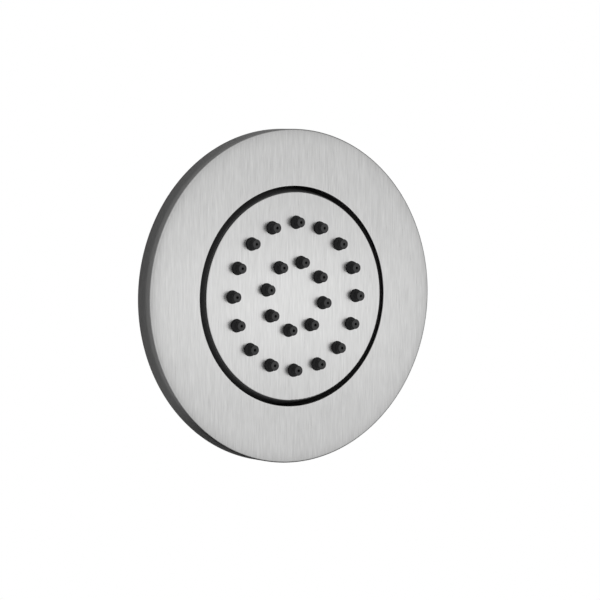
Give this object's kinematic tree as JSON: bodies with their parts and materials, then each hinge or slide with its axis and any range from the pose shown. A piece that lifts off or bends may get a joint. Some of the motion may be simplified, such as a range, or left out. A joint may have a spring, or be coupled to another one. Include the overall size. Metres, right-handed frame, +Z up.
{
  "type": "shower body jet",
  "caption": "Round wall-mounted shower body jet: a brushed steel spray face with black rubber nozzles aims on a ball joint, set in a round brushed steel trim plate.",
  "frame": {"origin": "on the jet's axis, at the wall's surface", "axes": "+Y along the jet's axis into the wall, so water leaves towards -Y; +Z up; +X to the right as seen from the front"},
  "size_m": [0.11, 0.0606, 0.11],
  "materials": {
    "brushed_steel": "fine straight brushing",
    "black_plastic": "fine moulded texture",
    "silicone": "smooth matt silicone",
    "acetal": "smooth natural acetal",
    "seal_rubber": "smooth black rubber",
    "gasket_foam": "fine closed-cell foam",
    "brass": "turned brass",
    "stainless": "plain stainless steel"
  },
  "bodies": {
    "wall_unit": {"trim_plate": "brushed_steel", "plate_carrier": "black_plastic", "collar_o_ring": "seal_rubber", "recess_cup": "black_plastic", "wall_gasket": "gasket_foam", "inlet_connector": "brass", "connector_washer": "seal_rubber", "lock_nut": "brass", "flow_restrictor": "acetal", "restrictor_o_ring": "seal_rubber", "inlet_strainer": "stainless", "ball_stem": "brass", "stem_o_ring": "seal_rubber"},
    "front_seat": {"ball_seal": "seal_rubber"},
    "rear_seat": {"friction_ring": "acetal"},
    "spray_head": {"ball_nut": "black_plastic", "back_shell": "black_plastic", "shell_o_ring": "seal_rubber", "shell_screws": "stainless", "distributor_plate": "acetal", "nozzle_frame": "black_plastic", "nozzle_mat": "silicone", "face_plate": "brushed_steel"}
  },
  "joints": [
    {"name": "tilt", "type": "hinge", "parent": "wall_unit", "child": "front_seat", "pos_m": [0, 0.00478, 0], "axis": [1, 0, 0], "range_deg": [-10, 10]},
    {"name": "swivel", "type": "hinge", "parent": "front_seat", "child": "rear_seat", "pos_m": [0, 0.00478, 0], "axis": [0, 0, 1], "range_deg": [-10, 10]},
    {"name": "spin", "type": "hinge", "parent": "rear_seat", "child": "spray_head", "pos_m": [0, 0.00478, 0], "axis": [0, 1, 0], "continuous": true}
  ]
}
